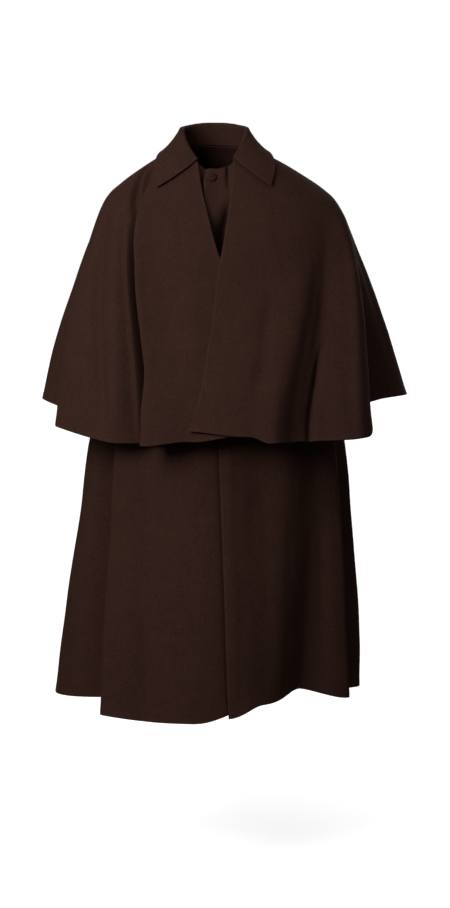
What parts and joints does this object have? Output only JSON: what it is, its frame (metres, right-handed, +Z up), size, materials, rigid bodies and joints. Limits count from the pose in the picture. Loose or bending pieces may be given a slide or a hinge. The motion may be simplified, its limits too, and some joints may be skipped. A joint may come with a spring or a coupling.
{
  "type": "inverness cape",
  "caption": "Sleeveless flared overcoat with a shoulder cape, a turned-down pointed collar and a covered button at the throat, in its worn shape.",
  "frame": {"origin": "middle of the neck seam, at the height where the seam crosses the shoulders", "axes": "+Z up, -Y the way the wearer faces, +X the wearer's left"},
  "size_m": [0.7874, 0.5968, 1.2404],
  "materials": {
    "brown_wool": "matt brushed melton wool",
    "button_wool": "matt wool stretched over a button mould"
  },
  "bodies": {
    "root": {"body_front_left": "brown_wool", "body_front_right": "brown_wool", "body_back": "brown_wool", "cape_front_left": "brown_wool", "cape_front_right": "brown_wool", "cape_back": "brown_wool", "collar": "brown_wool", "neck_button": "button_wool"}
  },
  "joints": []
}
